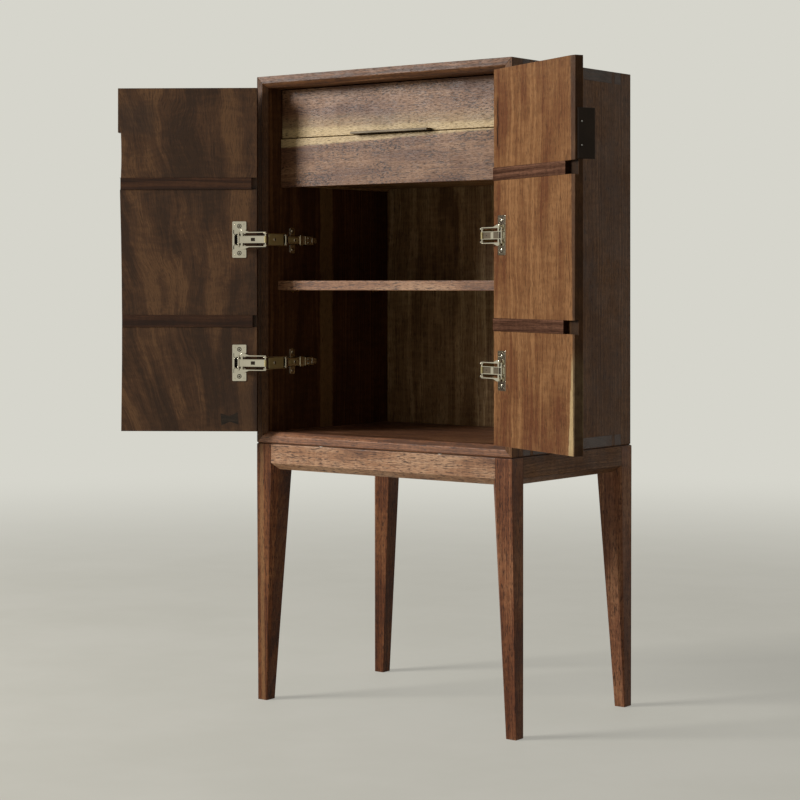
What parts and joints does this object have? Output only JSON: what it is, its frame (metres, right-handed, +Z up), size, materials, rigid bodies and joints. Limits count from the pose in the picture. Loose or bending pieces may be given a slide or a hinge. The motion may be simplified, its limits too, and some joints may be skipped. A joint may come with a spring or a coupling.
{
  "type": "cabinet on stand",
  "caption": "Wooden cabinet on a tall legged stand, with inset doors on knee hinges standing open, side-hung drawers, a loose shelf and blackened steel pulls.",
  "frame": {"origin": "on the floor under the middle of the case", "axes": "+Z up, -Y the front where the doors and drawers open, +X to the right of someone facing the front"},
  "size_m": [1.0503, 0.5871, 1.208],
  "materials": {
    "walnut": "oiled, open-pored",
    "warm_walnut": "oiled, straight orange-brown grain",
    "red_walnut": "oiled, reddish-brown",
    "nickel_plate": "bright nickel plate",
    "blackened_steel": "blackened and waxed",
    "bare_steel": "bare zinc-bright steel",
    "brass": "satin"
  },
  "bodies": {
    "case": {"top_panel": "walnut", "bottom_panel": "walnut", "left_side_panel": "walnut", "right_side_panel": "walnut", "back_panel": "walnut", "shelf": "walnut", "shelf_pins": "brass", "front_left_leg": "red_walnut", "front_right_leg": "red_walnut", "rear_left_leg": "red_walnut", "rear_right_leg": "red_walnut", "front_apron": "walnut", "rear_apron": "walnut", "left_apron": "walnut", "right_apron": "walnut", "stand_fasteners": "bare_steel", "left_lower_runner": "walnut", "left_upper_runner": "walnut", "right_lower_runner": "walnut", "right_upper_runner": "walnut", "hinge_arm_screws": "nickel_plate", "left_lower_hinge_arm": "nickel_plate", "left_upper_hinge_arm": "nickel_plate", "right_lower_hinge_arm": "nickel_plate", "right_upper_hinge_arm": "nickel_plate"},
    "left_door": {"left_door_panel": "walnut", "left_lower_batten": "walnut", "left_upper_batten": "walnut", "butterfly_key": "walnut", "left_cup_screws": "nickel_plate", "left_lower_hinge_cup": "nickel_plate", "left_upper_hinge_cup": "nickel_plate"},
    "right_door": {"right_door_panel": "warm_walnut", "right_lower_batten": "warm_walnut", "right_upper_batten": "warm_walnut", "pull_plate": "blackened_steel", "pull_plate_screws": "bare_steel", "right_cup_screws": "nickel_plate", "right_lower_hinge_cup": "nickel_plate", "right_upper_hinge_cup": "nickel_plate"},
    "left_levers": {"left_lower_hinge_lever": "nickel_plate", "left_upper_hinge_lever": "nickel_plate"},
    "right_levers": {"right_lower_hinge_lever": "nickel_plate", "right_upper_hinge_lever": "nickel_plate"},
    "left_links": {"left_lower_hinge_link": "nickel_plate", "left_upper_hinge_link": "nickel_plate"},
    "right_links": {"right_lower_hinge_link": "nickel_plate", "right_upper_hinge_link": "nickel_plate"},
    "upper_drawer": {"upper_drawer_front": "walnut", "upper_drawer_left_side": "walnut", "upper_drawer_right_side": "walnut", "upper_drawer_back": "walnut", "upper_drawer_bottom": "walnut", "drawer_pull": "blackened_steel", "drawer_pull_screws": "blackened_steel"},
    "lower_drawer": {"lower_drawer_front": "walnut", "lower_drawer_left_side": "walnut", "lower_drawer_right_side": "walnut", "lower_drawer_back": "walnut", "lower_drawer_bottom": "walnut"}
  },
  "joints": [
    {"name": "left_door_swing", "type": "hinge", "parent": "case", "child": "left_door", "pos_m": [-0.2846, -0.2002, 0.7735], "axis": [0, 0, -1], "range_deg": [-144.5, 17.5]},
    {"name": "left_lever_turn", "type": "hinge", "parent": "case", "child": "left_levers", "pos_m": [-0.255, -0.167, 0.7735], "axis": [0, 0, -1], "range_deg": [-122, 15.2]},
    {"name": "left_link_turn", "type": "hinge", "parent": "left_door", "child": "left_links", "pos_m": [-0.30233, -0.25043, 0.7735], "axis": [0, 0, 1], "range_deg": [-120, 15]},
    {"name": "right_door_swing", "type": "hinge", "parent": "case", "child": "right_door", "pos_m": [0.2846, -0.2002, 0.7735], "axis": [0, 0, 1], "range_deg": [-154, 8]},
    {"name": "right_lever_turn", "type": "hinge", "parent": "case", "child": "right_levers", "pos_m": [0.255, -0.167, 0.7735], "axis": [0, 0, 1], "range_deg": [-128.1, 7.1]},
    {"name": "right_link_turn", "type": "hinge", "parent": "right_door", "child": "right_links", "pos_m": [0.31037, -0.24682, 0.7735], "axis": [0, 0, -1], "range_deg": [-125.5, 7]},
    {"name": "upper_drawer_slide", "type": "slide", "parent": "case", "child": "upper_drawer", "axis": [0, -1, 0], "range_m": [0, 0.388]},
    {"name": "lower_drawer_slide", "type": "slide", "parent": "case", "child": "lower_drawer", "axis": [0, -1, 0], "range_m": [-0.004, 0.384]}
  ],
  "couplings": [
    {"joint": "left_lever_turn", "follows": "left_door_swing", "ratio": 0.84077},
    {"joint": "left_link_turn", "follows": "left_door_swing", "ratio": 0.82711},
    {"joint": "right_lever_turn", "follows": "right_door_swing", "ratio": 0.8284},
    {"joint": "right_link_turn", "follows": "right_door_swing", "ratio": 0.81142}
  ]
}
